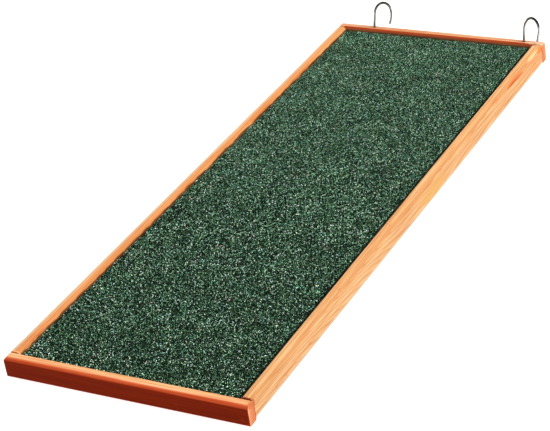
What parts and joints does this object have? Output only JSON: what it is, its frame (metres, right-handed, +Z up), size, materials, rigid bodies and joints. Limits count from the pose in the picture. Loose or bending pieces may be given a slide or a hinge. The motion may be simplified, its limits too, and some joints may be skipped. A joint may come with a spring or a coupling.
{
  "type": "small animal ramp",
  "caption": "Flat wooden ramp for small animals: a board under green gritted felt, framed by glazed pine rails, with wire screw hooks at one end to hang it from a hutch.",
  "frame": {"origin": "middle of the underside of the board, which is flush with the underside of the rails", "axes": "+Y along the ramp towards the hooked end, +Z up out of the gritted face, +X to the right when looking along +Y"},
  "size_m": [0.18, 0.5072, 0.0362],
  "materials": {
    "glazed_pine": "semi-gloss orange glaze",
    "bare_pine": "bare, planed",
    "grit_felt": "matt, covered with mineral grit",
    "bright_wire": "bright plated",
    "brad_steel": "plain wire, heads glazed over"
  },
  "bodies": {
    "ramp": {"front_rail": "glazed_pine", "back_rail": "glazed_pine", "left_rail": "glazed_pine", "right_rail": "glazed_pine", "deck_board": "bare_pine", "grit_felt": "grit_felt", "front_left_lower_brad": "brad_steel", "front_left_upper_brad": "brad_steel", "front_right_lower_brad": "brad_steel", "front_right_upper_brad": "brad_steel", "back_left_lower_brad": "brad_steel", "back_left_upper_brad": "brad_steel", "back_right_lower_brad": "brad_steel", "back_right_upper_brad": "brad_steel", "left_board_brad_1": "brad_steel", "left_board_brad_2": "brad_steel", "left_board_brad_3": "brad_steel", "left_board_brad_4": "brad_steel", "right_board_brad_1": "brad_steel", "right_board_brad_2": "brad_steel", "right_board_brad_3": "brad_steel", "right_board_brad_4": "brad_steel", "front_board_brad_1": "brad_steel", "front_board_brad_2": "brad_steel", "back_board_brad_1": "brad_steel", "back_board_brad_2": "brad_steel"},
    "left_hook": {"left_hook": "bright_wire"},
    "right_hook": {"right_hook": "bright_wire"}
  },
  "joints": [
    {"name": "left_hook_turn", "type": "hinge", "parent": "ramp", "child": "left_hook", "pos_m": [-0.058, 0.247, 0.015], "axis": [0.0514, 0.1908, 0.9803], "range_deg": [-90, 90]},
    {"name": "right_hook_turn", "type": "hinge", "parent": "ramp", "child": "right_hook", "pos_m": [0.0732, 0.247, 0.015], "axis": [0.0605, 0.1392, 0.9884], "range_deg": [-90, 90]}
  ]
}
